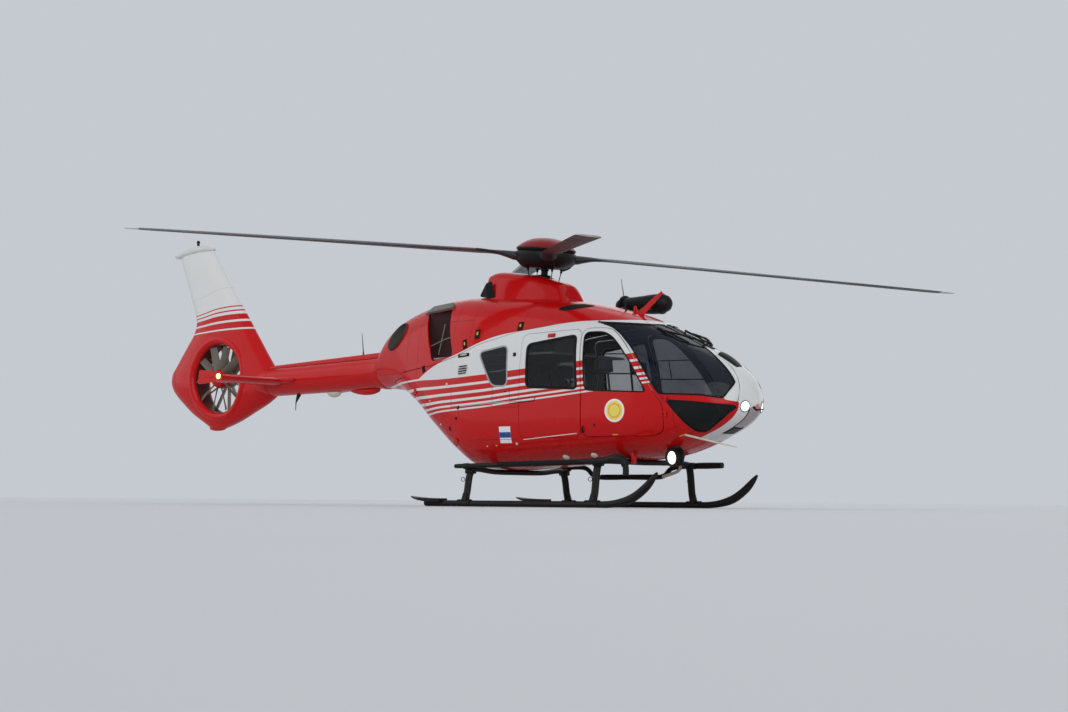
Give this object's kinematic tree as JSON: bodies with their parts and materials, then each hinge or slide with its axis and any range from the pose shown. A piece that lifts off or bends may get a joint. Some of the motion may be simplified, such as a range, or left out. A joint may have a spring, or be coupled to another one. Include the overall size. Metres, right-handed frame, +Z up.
{
  "type": "helicopter",
  "caption": "Light twin-engine rescue helicopter on skids, with a four-blade main rotor, a ducted tail fan, hinged pilot doors and rear loading doors.",
  "frame": {"origin": "centre of the whole craft with its rotor, on the ground under the skids", "axes": "+X to the nose, +Y to port, +Z up"},
  "size_m": [10.7684, 7.4666, 3.732],
  "materials": {
    "red_shell": "gloss",
    "tail_shell": "gloss",
    "glazing": "clear",
    "black_metal": "satin",
    "blade": "satin",
    "hub_steel": "satin",
    "deck": "matte",
    "engine": "matte",
    "exhaust": "matte",
    "stator": "satin",
    "seat": "matte",
    "interior": "matte",
    "lamp": "matte"
  },
  "bodies": {
    "airframe": {"cabin_frame": "red_shell", "engine_cowling": "red_shell", "mast_fairing": "red_shell", "sliding_door_right": "red_shell", "windshield_right": "glazing", "chin_window_right": "glazing", "rear_window_right": "glazing", "sliding_window_right": "glazing", "engine_right": "engine", "exhaust_right": "exhaust", "skid_right": "black_metal", "step_right": "black_metal", "pilot_seat_right": "seat", "sliding_door_left": "red_shell", "windshield_left": "glazing", "chin_window_left": "glazing", "rear_window_left": "glazing", "sliding_window_left": "glazing", "engine_left": "engine", "exhaust_left": "exhaust", "skid_left": "black_metal", "step_left": "black_metal", "pilot_seat_left": "seat", "engine_deck": "deck", "cabin_floor": "deck", "main_gearbox": "engine", "tail_boom": "tail_shell", "drive_shaft_cover": "tail_shell", "fin_shroud": "tail_shell", "fin_cap": "tail_shell", "stabilizer": "tail_shell", "fan_stator": "stator", "front_cross_tube": "black_metal", "rear_cross_tube": "black_metal", "wire_cutter_upper": "black_metal", "chin_bar": "black_metal", "rear_bench": "seat", "instrument_panel": "interior", "hoist": "lamp", "searchlight": "lamp"},
    "pilot_door_right": {"pilot_door_right": "red_shell", "pilot_window_right": "glazing"},
    "pilot_door_left": {"pilot_door_left": "red_shell", "pilot_window_left": "glazing"},
    "clamshell_right": {"clamshell_right": "red_shell"},
    "clamshell_left": {"clamshell_left": "red_shell"},
    "main_rotor": {"rotor_head": "hub_steel", "hub_cap": "red_shell", "blade_1": "blade", "blade_2": "blade", "blade_3": "blade", "blade_4": "blade"},
    "tail_rotor": {"tail_fan": "black_metal"}
  },
  "joints": [
    {"name": "main_rotor_spin", "type": "hinge", "parent": "airframe", "child": "main_rotor", "pos_m": [1.67081, 0, 3.12], "axis": [0.0872, 0, 0.9962], "continuous": true},
    {"name": "tail_rotor_spin", "type": "hinge", "parent": "airframe", "child": "tail_rotor", "pos_m": [-4.25919, 0, 1.77], "axis": [0, 1, 0], "continuous": true},
    {"name": "pilot_door_right_hinge", "type": "hinge", "parent": "airframe", "child": "pilot_door_right", "pos_m": [4.01581, -0.655, 1.1], "axis": [0, 0, 1], "range_deg": [0, 75]},
    {"name": "pilot_door_left_hinge", "type": "hinge", "parent": "airframe", "child": "pilot_door_left", "pos_m": [4.01581, 0.655, 1.1], "axis": [0, 0, -1], "range_deg": [0, 75]},
    {"name": "clamshell_right_hinge", "type": "hinge", "parent": "airframe", "child": "clamshell_right", "pos_m": [0.86881, -0.705, 0.795], "axis": [-0.7836, 0.1158, 0.6104], "range_deg": [0, 90]},
    {"name": "clamshell_left_hinge", "type": "hinge", "parent": "airframe", "child": "clamshell_left", "pos_m": [0.86881, 0.705, 0.795], "axis": [0.7836, 0.1158, -0.6104], "range_deg": [0, 90]}
  ],
  "couplings": [
    {"joint": "tail_rotor_spin", "follows": "main_rotor_spin", "ratio": 9.07}
  ]
}
